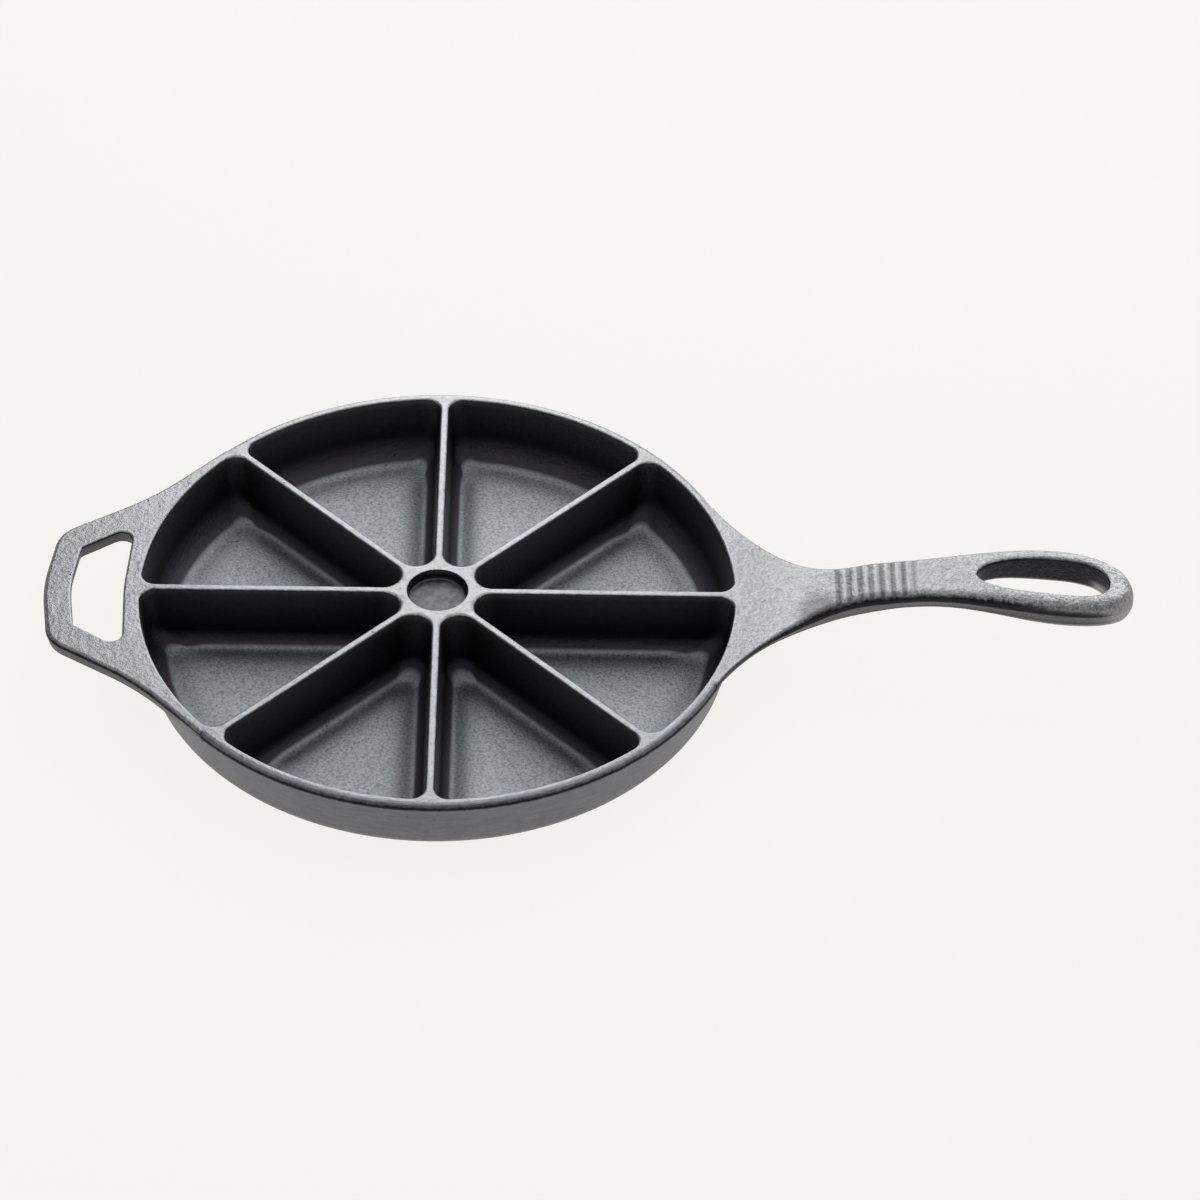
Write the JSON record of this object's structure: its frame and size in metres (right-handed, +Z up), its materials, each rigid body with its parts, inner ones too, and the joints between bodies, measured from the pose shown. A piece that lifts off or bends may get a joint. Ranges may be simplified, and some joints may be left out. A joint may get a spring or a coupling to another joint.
{
  "type": "cornbread skillet",
  "caption": "Round cast-iron cornbread skillet: wedge pockets around a hub, a long handle with a grooved grip and a hanging hole, and a helper handle opposite.",
  "frame": {"origin": "centre of the pan's flat underside, which rests on the table", "axes": "+X towards the hanging hole at the end of the long handle, +Z up out of the pockets, +Y completes the right-handed frame"},
  "size_m": [0.4308, 0.244, 0.0423],
  "materials": {
    "iron": "sand-cast, seasoned, satin dark grey"
  },
  "bodies": {
    "root": {"pan_floor": "iron", "side_wall_1": "iron", "side_wall_2": "iron", "side_wall_3": "iron", "side_wall_4": "iron", "side_wall_5": "iron", "side_wall_6": "iron", "side_wall_7": "iron", "side_wall_8": "iron", "rim_1": "iron", "rim_2": "iron", "rim_3": "iron", "rim_4": "iron", "rim_5": "iron", "rim_6": "iron", "rim_7": "iron", "rim_8": "iron", "hub": "iron", "divider_1": "iron", "divider_2": "iron", "divider_3": "iron", "divider_4": "iron", "divider_5": "iron", "divider_6": "iron", "divider_7": "iron", "divider_8": "iron", "helper_handle": "iron", "long_handle_root": "iron", "long_handle_grip": "iron", "hanging_loop": "iron"}
  },
  "joints": []
}
